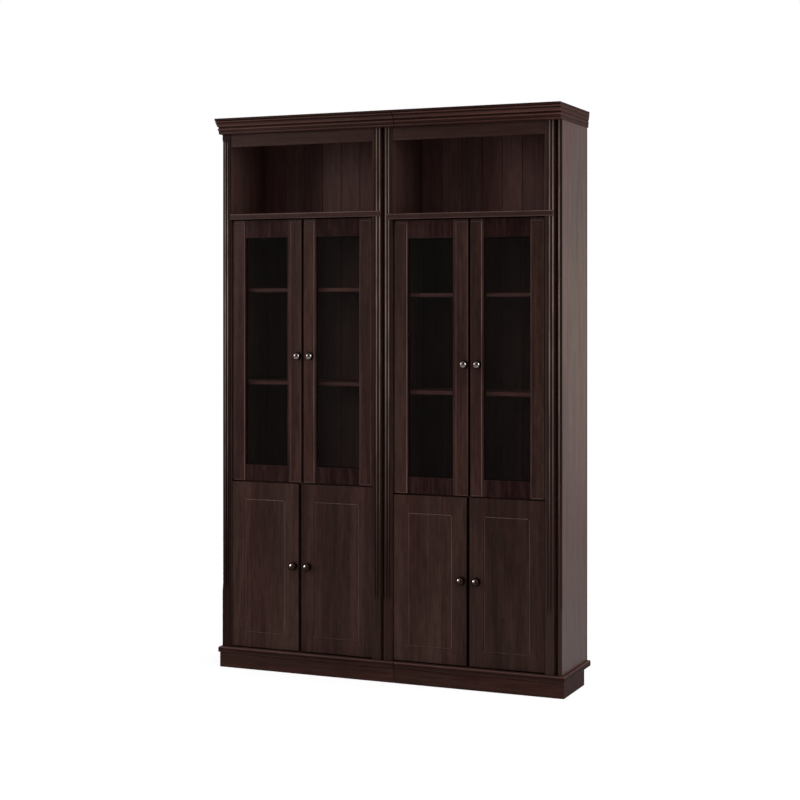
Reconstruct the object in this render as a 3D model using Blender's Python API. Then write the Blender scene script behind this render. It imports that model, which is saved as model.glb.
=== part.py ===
"""Tall two-bay bookcase wall in dark stained pine.

Each bay has an open niche at the top, a pair of glazed doors and a pair of lower panelled doors.
The bays share the double upright in the middle. All sizes are in metres, +Z is up, the doors face -Y,
and the origin is the bottom centre of the whole piece.
"""

import math
from collections import namedtuple

import bmesh
import bpy

# Overall size and the gap left between touching pieces
TOTAL_HEIGHT = 2.200
BODY_DEPTH = 0.310
BACK_THICKNESS = 0.0117
GAP = 0.0003

# Widths across the front, from the left end to the right end
LEFT_POST = 0.036
LEFT_OPENING = 0.6255
RIGHT_OPENING = 0.620
REEDED_WIDTH = 0.034
CENTRE_SLOT = 0.013
RIGHT_SLOT = 0.016
END_EDGE = 0.015

# Half of the open seam between the two bays' mouldings
HALF_SEAM = 0.0014

# Crown moulding, top board and frieze
CORNICE_HEIGHT = 0.061
CORNICE_OVERHANG = 0.050
CORNICE_SIDE_SHARE = 0.18
CORNICE_SEAM_OFFSET = 0.020
TOP_THICKNESS = 0.018
TOP_DROP = 0.001
FRIEZE_BOTTOM = 2.088
FRIEZE_SETBACK = 0.003
FRIEZE_THICKNESS = 0.018

# Plinth and the base board on it
PLINTH_HEIGHT = 0.060
PLINTH_PROUD = 0.004
PLINTH_SIDE_PROUD = 0.009
PLINTH_THICKNESS = 0.018
PLINTH_DEPTH = 0.252
BASE_THICKNESS = 0.022
BASE_PROUD = 0.012
BASE_SIDE_PROUD = 0.013
BASE_ROUND = 0.005
BASE_FOOT_ROUND = 0.0017
BASE_SEAM_OFFSET = 0.011

# Reeded front edges of the uprights
BEAD_RADIUS = 0.0045
BEAD_CENTRES = (0.0045, 0.0178)
LEFT_BEAD_CENTRES = (0.0118, 0.0225)
INNER_BEAD_CENTRES = (0.0085, 0.0205)
BEAD_STEPS = 6
QUIRK_WIDTH = 0.0022
QUIRK_WALL = 0.0004
END_BEAD_RADIUS = 0.0033
SLOT_DEPTH = 0.045
REED_STOP = 0.320
REED_RUNOUT = 0.030
NECK_HEIGHT = 0.083
NECK_RUNOUT = 0.006

# Shelves
SHELF_THICKNESS = 0.017
SHELF_SETBACK = 0.045
SHELF_SIDE_PLAY = 0.002
MID_THICKNESS = 0.018
NICHE_THICKNESS = 0.021
NICHE_PROUD = 0.006
NICHE_ROUND = 0.003

# Tongue and groove back
BOARD_PITCH = 0.085
GROOVE_SPAN = 0.620
GROOVE_HALF_WIDTH = 0.0025
GROOVE_DEPTH = 0.003

# Doors
DOOR_RECESS = 0.009
DOOR_THICKNESS = 0.022
DOOR_SIDE_GAP = 0.003
DOOR_TOP_GAP = 0.004
DOOR_BOTTOM = 0.086
DOOR_SPLIT = 0.006
GLAZED_PAIR_GAP = 0.008
LOWER_PAIR_GAP = 0.011
GLAZED_GAP_SHIFT = 0.005
HINGE_STILE = 0.058
LEFT_MEETING_STILE = 0.063
RIGHT_MEETING_STILE = 0.053
STILE_STEP = 0.012
STILE_RELIEF = 0.004
STILE_CHAMFER = 0.003
TOP_RAIL = 0.070
BOTTOM_RAIL = 0.0625
GLASS_THICKNESS = 0.004
GLASS_SETBACK = 0.006
ROUT_SIDE = 0.057
ROUT_TOP = 0.0655
ROUT_BOTTOM = 0.057
ROUT_PROFILE = ((0.0, 0.0), (0.0008, 0.0025), (0.0024, 0.0025), (0.0060, 0.0))
EDGE_ROUND = 0.002
EDGE_ARC = 0.0006

# Knobs: the distance of each from its door's meeting edge, on the left door and on the right door
GLAZED_KNOB_RADIUS = 0.0145
LOWER_KNOB_RADIUS = 0.0155
GLAZED_KNOB_INSETS = (0.016, 0.030)
LOWER_KNOB_INSETS = (0.022, 0.029)
KNOB_SEGMENTS = 20

# A knob's outline in shares of its radius: (radius, distance from the door), then its flattened ball
KNOB_FOOT = ((0.72, 0.0), (0.72, 0.10), (0.48, 0.24), (0.42, 0.32))
KNOB_BALL_CENTRE = 0.90
KNOB_BALL_DEPTH = 0.72
KNOB_BALL_START = -48
KNOB_BALL_END = 86
KNOB_STEPS = 7

# Concealed hinges
HINGE_END_DISTANCE = 0.100
HINGE_ARM_LENGTH = 0.062
HINGE_ARM_WIDTH = 0.012
HINGE_ARM_HEIGHT = 0.008
HINGE_PLATE_LENGTH = 0.018
HINGE_PLATE_WIDTH = 0.046
HINGE_PLATE_THICKNESS = 0.003
HINGE_CLEARANCE = 0.003
HINGE_CHAMFER = 0.0015

# Derived planes
BODY_WIDTH = (LEFT_POST + LEFT_OPENING + 2 * REEDED_WIDTH + CENTRE_SLOT + RIGHT_OPENING
              + REEDED_WIDTH + RIGHT_SLOT + END_EDGE)
LEFT_X = -BODY_WIDTH / 2
RIGHT_X = BODY_WIDTH / 2
BACK_DEPTH = BODY_DEPTH + GAP + BACK_THICKNESS
FRONT_Y = (CORNICE_OVERHANG - BACK_DEPTH) / 2
PANEL_BACK_Y = FRONT_Y + BODY_DEPTH
REAR_Y = FRONT_Y + BACK_DEPTH
BASE_TOP = PLINTH_HEIGHT + BASE_THICKNESS
TOP_UNDERSIDE = TOTAL_HEIGHT - TOP_DROP - TOP_THICKNESS
DOOR_FRONT_Y = FRONT_Y + DOOR_RECESS
DOOR_BACK_Y = DOOR_FRONT_Y + DOOR_THICKNESS

# A bay: the x of its opening, the middle height between its lower and glazed doors, its niche floor,
# its adjustable shelves, its knob heights, how far its lower doors meet off its middle, and how far the
# lip of its niche floor reaches past the opening on each side
Bay = namedtuple("Bay", "name left right split niche_floor shelves glazed_knob lower_knob gap_shift laps")

LEFT_OPENING_X = LEFT_X + LEFT_POST
CENTRE_X = LEFT_OPENING_X + LEFT_OPENING
RIGHT_OPENING_X = CENTRE_X + 2 * REEDED_WIDTH + CENTRE_SLOT
RIGHT_POST_X = RIGHT_OPENING_X + RIGHT_OPENING
BACK_SEAM_X = RIGHT_OPENING_X - REEDED_WIDTH / 2

BAYS = (
    Bay("left_bay", LEFT_OPENING_X, CENTRE_X, 0.7500, 1.818, (1.1425, 1.513),
        1.253, 0.4215, -0.006, (-0.0002, 0.031)),
    Bay("right_bay", RIGHT_OPENING_X, RIGHT_POST_X, 0.7275, 1.805, (1.116, 1.491),
        1.229, 0.4080, 0.0, (0.019, 0.031)),
)

# Finish of each kind of piece: colour, roughness, metallic, alpha
STAINED_FRONT = ((0.040, 0.022, 0.019), 0.42, 0.0, 1.0)
STAINED_SIDE = ((0.048, 0.027, 0.022), 0.48, 0.0, 1.0)
STAINED_INNER = ((0.022, 0.012, 0.011), 0.60, 0.0, 1.0)
CLEAR_GLASS = ((0.85, 0.90, 0.88), 0.03, 0.0, 0.35)
POLISHED_METAL = ((0.55, 0.52, 0.48), 0.22, 1.0, 1.0)
DARK_BRONZE = ((0.060, 0.040, 0.030), 0.30, 0.8, 1.0)
PLATED_STEEL = ((0.60, 0.60, 0.60), 0.30, 1.0, 1.0)


def clear_scene():
    """Remove every object that the file opened with."""
    for item in list(bpy.data.objects):
        bpy.data.objects.remove(item, do_unlink=True)


def make_finish(name, finish):
    """One Principled material for one piece."""
    colour, roughness, metallic, alpha = finish
    material = bpy.data.materials.new(name + "_finish")
    material.use_nodes = True
    shader = material.node_tree.nodes["Principled BSDF"]
    shader.inputs["Base Color"].default_value = (*colour, 1.0)
    shader.inputs["Roughness"].default_value = roughness
    shader.inputs["Metallic"].default_value = metallic
    shader.inputs["Alpha"].default_value = alpha
    return material


def add_piece(name, bm, finish, pivot=None, round_piece=False):
    """Turn a closed bmesh in world coordinates into a named object, hung on a pivot if it has one."""
    bmesh.ops.recalc_face_normals(bm, faces=bm.faces)
    if pivot:
        bmesh.ops.translate(bm, verts=bm.verts, vec=-pivot.location)
    mesh = bpy.data.meshes.new(name)
    bm.to_mesh(mesh)
    bm.free()
    mesh.materials.append(make_finish(name, finish))
    if round_piece:
        mesh.shade_smooth()
        mesh.set_sharp_from_angle(angle=math.radians(35))
    piece = bpy.data.objects.new(name, mesh)
    bpy.context.scene.collection.objects.link(piece)
    if pivot:
        piece.parent = pivot
    return piece


def add_pivot(name, x, y, z):
    """An empty on the swing axis of a door."""
    pivot = bpy.data.objects.new(name, None)
    pivot.location = (x, y, z)
    bpy.context.scene.collection.objects.link(pivot)
    return pivot


def loft(rings):
    """Closed solid through rings with the same number of points, with a flat cap at each end."""
    bm = bmesh.new()
    loops = [[bm.verts.new(point) for point in ring] for ring in rings]
    for lower, upper in zip(loops, loops[1:]):
        count = len(lower)
        for i in range(count):
            j = (i + 1) % count
            bm.faces.new((lower[i], lower[j], upper[j], upper[i]))
    bm.faces.new(loops[0][::-1])
    bm.faces.new(loops[-1])
    return bm


def upright_loft(levels):
    """Solid from plan outlines: levels is a list of (z, [(x, y), ...])."""
    return loft([[(x, y, z) for x, y in outline] for z, outline in levels])


def plan_rectangle(x0, x1, y0, y1):
    """Outline of a rectangle seen from above."""
    return [(x0, y0), (x1, y0), (x1, y1), (x0, y1)]


def board(x0, x1, y0, y1, z0, z1):
    """A plain rectangular board."""
    outline = plan_rectangle(x0, x1, y0, y1)
    return upright_loft([(z0, outline), (z1, outline)])


def stepped_slab(us, vs, thickness, place, window=None, pads=()):
    """Closed slab on a grid, with an optional window through it and chamfered pads raised on its face.

    us and vs are the grid lines, window is (u0, u1, v0, v1), a pad is (u0, u1, v0, v1, height, chamfer),
    and place turns (u, v, w) into a world position, w being the distance from the slab's back.
    """
    bm = bmesh.new()
    made = {}

    def corner(layer, i, j, w, inset=None):
        key = (layer, i, j)
        if key not in made:
            u, v = us[i], vs[j]
            if inset:
                u0, u1, v0, v1, chamfer = inset
                u = min(max(u, u0 + chamfer), u1 - chamfer)
                v = min(max(v, v0 + chamfer), v1 - chamfer)
            made[key] = bm.verts.new(place(u, v, w))
        return made[key]

    def inside(i, j, area):
        u, v = (us[i] + us[i + 1]) / 2, (vs[j] + vs[j + 1]) / 2
        return area[0] < u < area[1] and area[2] < v < area[3]

    def edges(i, j):
        return (((i, j), (i + 1, j), (i, j - 1)), ((i + 1, j), (i + 1, j + 1), (i + 1, j)),
                ((i + 1, j + 1), (i, j + 1), (i, j + 1)), ((i, j + 1), (i, j), (i - 1, j)))

    def wall(a, b, low, high):
        bm.faces.new((low(*a), low(*b), high(*b), high(*a)))

    def back(i, j):
        return corner("back", i, j, 0.0)

    def front(i, j):
        return corner("front", i, j, thickness)

    cells = {(i, j) for i in range(len(us) - 1) for j in range(len(vs) - 1)
             if not (window and inside(i, j, window))}
    padded = set()
    for number, pad in enumerate(pads):
        height, chamfer = pad[4:]
        pad_cells = {cell for cell in cells if inside(*cell, pad)}
        padded |= pad_cells

        def shoulder(i, j, layer=number, w=thickness + height - chamfer):
            return corner(("shoulder", layer), i, j, w)

        def crown(i, j, layer=number, w=thickness + height, area=(*pad[:4], chamfer)):
            return corner(("crown", layer), i, j, w, area)

        for i, j in pad_cells:
            bm.faces.new((crown(i, j), crown(i + 1, j), crown(i + 1, j + 1), crown(i, j + 1)))
            for a, b, neighbour in edges(i, j):
                if neighbour not in pad_cells:
                    wall(a, b, front, shoulder)
                    wall(a, b, shoulder, crown)
    for i, j in cells:
        bm.faces.new((back(i, j), back(i, j + 1), back(i + 1, j + 1), back(i + 1, j)))
        if (i, j) not in padded:
            bm.faces.new((front(i, j), front(i + 1, j), front(i + 1, j + 1), front(i, j + 1)))
        for a, b, neighbour in edges(i, j):
            if neighbour not in cells:
                wall(a, b, back, front)
    return bm


def reed_profile(width, centres):
    """Across one reeded edge: (distance from its outer corner, depth below the front face)."""
    points = []
    if centres[0] > BEAD_RADIUS:
        points.append((0.0, BEAD_RADIUS))
    for centre in centres:
        for step in range(BEAD_STEPS + 1):
            angle = math.pi * (1 - step / BEAD_STEPS)
            across = centre + BEAD_RADIUS * math.cos(angle)
            points.append((across, BEAD_RADIUS * (1 - math.sin(angle))))
    quirk_end = centres[-1] + BEAD_RADIUS + QUIRK_WIDTH
    points.append((quirk_end, BEAD_RADIUS))
    points.append((quirk_end + QUIRK_WALL, 0.0))
    points.append((width, 0.0))
    return points


def reeded_edge(outer_x, inner_x, relief, centres=BEAD_CENTRES):
    """Front outline of an upright from its beaded corner to the corner beside the opening."""
    way = math.copysign(1.0, inner_x - outer_x)
    return [(outer_x + way * across, FRONT_Y + depth * relief)
            for across, depth in reed_profile(abs(inner_x - outer_x), centres)]


def end_edge(inner_x, outer_x, relief):
    """Front outline of the right end: one small bead and a set-back flat out to the corner."""
    points = []
    for step in range(BEAD_STEPS + 1):
        angle = math.pi * (1 - step / BEAD_STEPS)
        across = END_BEAD_RADIUS * (1 + math.cos(angle))
        points.append((inner_x + across, FRONT_Y + END_BEAD_RADIUS * (1 - math.sin(angle)) * relief))
    points.append((outer_x, FRONT_Y + END_BEAD_RADIUS * relief))
    return points


def reed_levels(outline, necked=False):
    """Levels of an upright: plain at the foot, reeded above, and plain again if it is necked."""
    levels = [(BASE_TOP + GAP, 0.0), (REED_STOP - REED_RUNOUT / 2, 0.0), (REED_STOP + REED_RUNOUT / 2, 1.0)]
    top = TOP_UNDERSIDE - GAP
    if necked:
        neck = TOTAL_HEIGHT - NECK_HEIGHT
        levels += [(neck - NECK_RUNOUT, 1.0), (neck, 0.0), (top, 0.0)]
    else:
        levels.append((top, 1.0))
    return upright_loft([(z, outline(relief)) for z, relief in levels])


def add_uprights():
    """The four uprights: left side, the two halves of the middle, and the right side with its end edge."""
    def plain(outer_x, inner_x, centres):
        def outline(relief):
            rear = [(inner_x, PANEL_BACK_Y), (outer_x, PANEL_BACK_Y)]
            return reeded_edge(outer_x, inner_x, relief, centres) + rear
        return outline

    def right_end(relief):
        slot_x = RIGHT_POST_X + REEDED_WIDTH
        slot_y = FRONT_Y + SLOT_DEPTH
        points = reeded_edge(slot_x, RIGHT_POST_X, relief)[::-1]
        points += [(slot_x, slot_y), (slot_x + RIGHT_SLOT, slot_y)]
        points += end_edge(slot_x + RIGHT_SLOT, RIGHT_X, relief)
        return points + [(RIGHT_X, PANEL_BACK_Y), (RIGHT_POST_X, PANEL_BACK_Y)]

    left_end = plain(LEFT_X, LEFT_OPENING_X, LEFT_BEAD_CENTRES)
    left_half = plain(CENTRE_X + REEDED_WIDTH, CENTRE_X, BEAD_CENTRES)
    right_half = plain(RIGHT_OPENING_X - REEDED_WIDTH, RIGHT_OPENING_X, INNER_BEAD_CENTRES)
    add_piece("left_side_panel", reed_levels(left_end, necked=True), STAINED_SIDE)
    add_piece("centre_upright_left", reed_levels(left_half), STAINED_FRONT)
    add_piece("centre_upright_right", reed_levels(right_half), STAINED_FRONT)
    add_piece("right_side_panel", reed_levels(right_end), STAINED_SIDE)


def corner_outline(side, seam_x, front, outside, inner_front, inner_side, rear):
    """L-shaped plan outline of a front run and a side return; side is -1 for left and +1 for right."""
    return [(seam_x, front), (side * outside, front), (side * outside, rear),
            (side * inner_side, rear), (side * inner_side, inner_front), (seam_x, inner_front)]


def cornice_profile():
    """Crown moulding from its foot to its top: (height above the foot, front overhang)."""
    points = [(0.0000, 0.0190), (0.0015, 0.0235), (0.0070, 0.0245), (0.0080, 0.0225), (0.0095, 0.0225),
              (0.0105, 0.0255), (0.0145, 0.0260), (0.0152, 0.0250)]
    points += cornice_bead(0.0190, 0.0270, 0.0037)
    points += [(0.0229, 0.0245), (0.0284, 0.0255), (0.0290, 0.0335)]
    cove_foot, cove_top, cove_start, cove_end = 0.0300, 0.0405, 0.0345, 0.0425
    for step in range(5):
        share = step / 4
        curve = 1 - math.cos(share * math.pi / 2)
        points.append((cove_foot + (cove_top - cove_foot) * share,
                       cove_start + (cove_end - cove_start) * curve))
    points += [(0.0412, 0.0405), (0.0438, 0.0410)]
    points += cornice_bead(0.0478, 0.0430, 0.0038)
    points += [(0.0520, 0.0430), (0.0526, 0.0490), (0.0536, CORNICE_OVERHANG), (0.0598, CORNICE_OVERHANG)]
    points.append((CORNICE_HEIGHT, CORNICE_OVERHANG - 0.0012))
    return points


def cornice_bead(height, root, radius):
    """Half round of the crown moulding, from its lower edge to its upper edge."""
    points = []
    for step in range(5):
        angle = math.pi * (step / 4 - 0.5)
        points.append((height + radius * math.sin(angle), root + radius * math.cos(angle)))
    return points


def add_cornices():
    """Crown moulding of each bay: a front run with a return along the outer side."""
    seam = RIGHT_OPENING_X + CORNICE_SEAM_OFFSET
    foot = TOTAL_HEIGHT - CORNICE_HEIGHT
    for name, side, seam_x in (("left_bay", -1, seam - HALF_SEAM), ("right_bay", 1, seam + HALF_SEAM)):
        levels = []
        for height, overhang in cornice_profile():
            outside = RIGHT_X + overhang * CORNICE_SIDE_SHARE
            outline = corner_outline(side, seam_x, FRONT_Y - overhang, outside, FRONT_Y - GAP,
                                     RIGHT_X + GAP, REAR_Y)
            levels.append((foot + height, outline))
        add_piece(name + "_cornice", upright_loft(levels), STAINED_FRONT)


def add_plinths():
    """Plinth of each bay: a front board with a short side return that clears a skirting board."""
    seam = RIGHT_OPENING_X + BASE_SEAM_OFFSET
    front = FRONT_Y - PLINTH_PROUD
    outside = RIGHT_X + PLINTH_SIDE_PROUD
    for name, side, seam_x in (("left_bay", -1, seam - HALF_SEAM), ("right_bay", 1, seam + HALF_SEAM)):
        outline = corner_outline(side, seam_x, front, outside, front + PLINTH_THICKNESS,
                                 outside - PLINTH_THICKNESS, FRONT_Y + PLINTH_DEPTH)
        add_piece(name + "_plinth", upright_loft([(0.0, outline), (PLINTH_HEIGHT - GAP, outline)]),
                  STAINED_FRONT)


def add_base_boards():
    """Base board of each bay, rounded over along the top of its front and outer end."""
    seam = RIGHT_OPENING_X + BASE_SEAM_OFFSET
    setbacks = [(PLINTH_HEIGHT, BASE_FOOT_ROUND), (PLINTH_HEIGHT + BASE_FOOT_ROUND, 0.0)]
    for step in range(5):
        angle = math.pi / 2 * step / 4
        setbacks.append((BASE_TOP - BASE_ROUND * (1 - math.sin(angle)), BASE_ROUND * (1 - math.cos(angle))))
    for name, side, seam_x in (("left_bay", -1, seam - HALF_SEAM), ("right_bay", 1, seam + HALF_SEAM)):
        levels = []
        for z, setback in setbacks:
            end_x = side * (RIGHT_X + BASE_SIDE_PROUD - setback)
            front = FRONT_Y - BASE_PROUD + setback
            levels.append((z, plan_rectangle(seam_x, end_x, front, REAR_Y)))
        add_piece(name + "_base_board", upright_loft(levels), STAINED_FRONT)


def back_outline(x0, x1, first_groove):
    """Plan outline of the grooved back, with a V groove at every board joint."""
    points = [(x0, PANEL_BACK_Y + GAP)]
    groove_x = first_groove
    while groove_x < x1 - BOARD_PITCH / 4:
        if groove_x > x0 + BOARD_PITCH / 4:
            points.append((groove_x - GROOVE_HALF_WIDTH, PANEL_BACK_Y + GAP))
            points.append((groove_x, PANEL_BACK_Y + GAP + GROOVE_DEPTH))
            points.append((groove_x + GROOVE_HALF_WIDTH, PANEL_BACK_Y + GAP))
        groove_x += BOARD_PITCH
    return points + [(x1, PANEL_BACK_Y + GAP), (x1, REAR_Y), (x0, REAR_Y)]


def add_backs_and_tops():
    """Back, top board and frieze of each bay. Backs and tops meet on the middle upright."""
    spans = ((LEFT_X, BACK_SEAM_X - GAP), (BACK_SEAM_X + GAP, RIGHT_X))
    for bay, (x0, x1) in zip(BAYS, spans):
        outline = back_outline(x0, x1, bay.right - GROOVE_SPAN)
        levels = [(BASE_TOP + GAP, outline), (TOP_UNDERSIDE - GAP, outline)]
        add_piece(bay.name + "_back", upright_loft(levels), STAINED_INNER)
        top = board(x0, x1, FRONT_Y, REAR_Y, TOP_UNDERSIDE, TOP_UNDERSIDE + TOP_THICKNESS)
        add_piece(bay.name + "_top", top, STAINED_SIDE)
        frieze_y = FRONT_Y + FRIEZE_SETBACK
        frieze = board(bay.left + GAP, bay.right - GAP, frieze_y, frieze_y + FRIEZE_THICKNESS,
                       FRIEZE_BOTTOM, TOP_UNDERSIDE - GAP)
        add_piece(bay.name + "_frieze", frieze, STAINED_FRONT)


def niche_floor_outline(bay, setback):
    """Plan outline of the niche floor, whose front lip laps over the uprights."""
    lip_y = FRONT_Y - GAP
    front = FRONT_Y - NICHE_PROUD + setback
    left_lip, right_lip = bay.left - bay.laps[0], bay.right + bay.laps[1]
    return [(left_lip, front), (right_lip, front), (right_lip, lip_y),
            (bay.right - GAP, lip_y), (bay.right - GAP, PANEL_BACK_Y),
            (bay.left + GAP, PANEL_BACK_Y), (bay.left + GAP, lip_y), (left_lip, lip_y)]


def add_shelves(bay):
    """Fixed niche floor, fixed shelf behind the joint between the doors, and two adjustable shelves."""
    low = bay.niche_floor - NICHE_THICKNESS
    rounding = ((low, NICHE_ROUND), (low + NICHE_ROUND, 0.0), (bay.niche_floor - NICHE_ROUND, 0.0),
                (bay.niche_floor, NICHE_ROUND))
    levels = [(z, niche_floor_outline(bay, setback)) for z, setback in rounding]
    add_piece(bay.name + "_niche_floor", upright_loft(levels), STAINED_FRONT)
    inside = (bay.left + GAP, bay.right - GAP)
    mid = board(*inside, DOOR_BACK_Y + HINGE_CLEARANCE, PANEL_BACK_Y,
                bay.split - MID_THICKNESS / 2, bay.split + MID_THICKNESS / 2)
    add_piece(bay.name + "_middle_shelf", mid, STAINED_INNER)
    for number, height in enumerate(bay.shelves, start=1):
        shelf = board(bay.left + SHELF_SIDE_PLAY, bay.right - SHELF_SIDE_PLAY,
                      FRONT_Y + SHELF_SETBACK, PANEL_BACK_Y - SHELF_SIDE_PLAY,
                      height - SHELF_THICKNESS / 2, height + SHELF_THICKNESS / 2)
        add_piece(bay.name + "_shelf_" + str(number), shelf, STAINED_INNER)


def window_sides(x0, x1, hinge_side):
    """x of the two sides of a glazed door's window."""
    if hinge_side < 0:
        return x0 + HINGE_STILE, x1 - LEFT_MEETING_STILE
    return x0 + RIGHT_MEETING_STILE, x1 - HINGE_STILE


def glazed_frame(x0, x1, z0, z1, hinge_side):
    """Stile and rail frame with proud stiles. A left door's meeting stile steps down by the glass."""
    step = STILE_STEP if hinge_side < 0 else 0.0
    glass_x0, glass_x1 = window_sides(x0, x1, hinge_side)
    us = [x0, glass_x0, glass_x1, x1]
    if step:
        us.insert(3, glass_x1 + step)
    vs = [z0, z0 + BOTTOM_RAIL, z1 - TOP_RAIL, z1]
    pads = ((x0, glass_x0, z0, z1, STILE_RELIEF, STILE_CHAMFER),
            (glass_x1 + step, x1, z0, z1, STILE_RELIEF, STILE_CHAMFER))

    def place(u, v, w):
        return (u, DOOR_BACK_Y - w, v)

    return stepped_slab(us, vs, DOOR_THICKNESS - STILE_RELIEF, place,
                        window=(glass_x0, glass_x1, vs[1], vs[2]), pads=pads)


def panel_ring(x0, x1, z0, z1, inset, y):
    """Rectangle in a door's plane, drawn in from its edges by inset."""
    return [(x0 + inset, y, z0 + inset), (x1 - inset, y, z0 + inset),
            (x1 - inset, y, z1 - inset), (x0 + inset, y, z1 - inset)]


def lower_slab(x0, x1, z0, z1):
    """Lower door: a slab with eased front edges and a routed rectangle."""
    edge = (x0, x1, z0, z1)
    rings = [panel_ring(*edge, 0.0, DOOR_BACK_Y), panel_ring(*edge, 0.0, DOOR_FRONT_Y + EDGE_ROUND),
             panel_ring(*edge, EDGE_ARC, DOOR_FRONT_Y + EDGE_ARC),
             panel_ring(*edge, EDGE_ROUND, DOOR_FRONT_Y)]
    rout = (x0 + ROUT_SIDE, x1 - ROUT_SIDE, z0 + ROUT_BOTTOM, z1 - ROUT_TOP)
    rings += [panel_ring(*rout, inset, DOOR_FRONT_Y + depth) for inset, depth in ROUT_PROFILE]
    return loft(rings)


def knob(x, y, z, radius):
    """Turned knob: a small rose, a neck and a slightly flattened ball, on an axis along Y."""
    profile = list(KNOB_FOOT)
    for step in range(KNOB_STEPS + 1):
        angle = math.radians(KNOB_BALL_START + (KNOB_BALL_END - KNOB_BALL_START) * step / KNOB_STEPS)
        profile.append((math.cos(angle), KNOB_BALL_CENTRE + KNOB_BALL_DEPTH * math.sin(angle)))
    turns = [2 * math.pi * i / KNOB_SEGMENTS for i in range(KNOB_SEGMENTS)]
    rings = []
    for around, out in profile:
        reach = radius * around
        rings.append([(x + reach * math.cos(turn), y - GAP - radius * out, z + reach * math.sin(turn))
                      for turn in turns])
    return loft(rings)


def hinge_arm(side_x, way, z):
    """Fixed arm and mounting plate of a concealed hinge, on the inside face of an upright."""
    y0 = DOOR_BACK_Y + HINGE_CLEARANCE
    plate_y = y0 + HINGE_ARM_LENGTH - 2 * HINGE_PLATE_LENGTH
    us = [y0, plate_y, plate_y + HINGE_PLATE_LENGTH, y0 + HINGE_ARM_LENGTH]
    vs = [z - HINGE_PLATE_WIDTH / 2, z - HINGE_ARM_WIDTH / 2, z + HINGE_ARM_WIDTH / 2,
          z + HINGE_PLATE_WIDTH / 2]

    def place(u, v, w):
        return (side_x + way * (GAP + w), u, v)

    arm = (us[0], us[-1], vs[1], vs[2], HINGE_ARM_HEIGHT, HINGE_CHAMFER)
    return stepped_slab(us, vs, HINGE_PLATE_THICKNESS, place, pads=(arm,))


def add_hinges(prefix, side_x, way, z0, z1):
    """The two hinges of one door."""
    for place, z in (("bottom", z0 + HINGE_END_DISTANCE), ("top", z1 - HINGE_END_DISTANCE)):
        add_piece(prefix + "_hinge_" + place, hinge_arm(side_x, way, z), PLATED_STEEL)


def door_spans(bay, pair_gap, shift, insets):
    """(side, hinge side, x0, x1, x of the knob, x of the upright) of the two doors that fill a bay."""
    middle = (bay.left + bay.right) / 2 + shift
    left_meeting, right_meeting = middle - pair_gap / 2, middle + pair_gap / 2
    return (("left", -1, bay.left + DOOR_SIDE_GAP, left_meeting, left_meeting - insets[0], bay.left),
            ("right", 1, right_meeting, bay.right - DOOR_SIDE_GAP, right_meeting + insets[1], bay.right))


def add_glazed_doors(bay):
    """Pair of glazed doors with their panes, knobs and hinges."""
    z0 = bay.split + DOOR_SPLIT / 2
    z1 = bay.niche_floor - NICHE_THICKNESS - DOOR_TOP_GAP
    spans = door_spans(bay, GLAZED_PAIR_GAP, GLAZED_GAP_SHIFT, GLAZED_KNOB_INSETS)
    for side, hinge_side, x0, x1, knob_x, upright_x in spans:
        prefix = bay.name + "_glazed_door_" + side
        pivot = add_pivot(prefix + "_axis", x0 if hinge_side < 0 else x1, DOOR_FRONT_Y, z0)
        add_piece(prefix + "_frame", glazed_frame(x0, x1, z0, z1, hinge_side), STAINED_FRONT, pivot)
        glass_y = DOOR_FRONT_Y + STILE_RELIEF + GLASS_SETBACK
        glass_x0, glass_x1 = window_sides(x0, x1, hinge_side)
        pane = board(glass_x0 + GAP, glass_x1 - GAP, glass_y, glass_y + GLASS_THICKNESS,
                     z0 + BOTTOM_RAIL + GAP, z1 - TOP_RAIL - GAP)
        add_piece(prefix + "_glass", pane, CLEAR_GLASS, pivot)
        add_piece(prefix + "_knob", knob(knob_x, DOOR_FRONT_Y, bay.glazed_knob, GLAZED_KNOB_RADIUS),
                  POLISHED_METAL, pivot, round_piece=True)
        add_hinges(prefix, upright_x, -hinge_side, z0, z1)


def add_lower_doors(bay):
    """Pair of panelled lower doors with their knobs and hinges."""
    z0 = DOOR_BOTTOM
    z1 = bay.split - DOOR_SPLIT / 2
    spans = door_spans(bay, LOWER_PAIR_GAP, bay.gap_shift, LOWER_KNOB_INSETS)
    for side, hinge_side, x0, x1, knob_x, upright_x in spans:
        prefix = bay.name + "_lower_door_" + side
        pivot = add_pivot(prefix + "_axis", x0 if hinge_side < 0 else x1, DOOR_FRONT_Y, z0)
        add_piece(prefix + "_panel", lower_slab(x0, x1, z0, z1), STAINED_FRONT, pivot)
        add_piece(prefix + "_knob", knob(knob_x, DOOR_FRONT_Y, bay.lower_knob, LOWER_KNOB_RADIUS),
                  DARK_BRONZE, pivot, round_piece=True)
        add_hinges(prefix, upright_x, -hinge_side, z0, z1)


clear_scene()
add_plinths()
add_base_boards()
add_uprights()
add_backs_and_tops()
add_cornices()
for each_bay in BAYS:
    add_shelves(each_bay)
    add_glazed_doors(each_bay)
    add_lower_doors(each_bay)
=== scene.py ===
"""Looks of the two-bay display bookcase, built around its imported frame.

The frame gives every size and place. This script adds the stained wood, glass and metal, the finer wooden
pieces, and the small fittings that the frame leaves out. Everything is in metres, +Z up, doors facing -Y.
"""

import math

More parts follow.
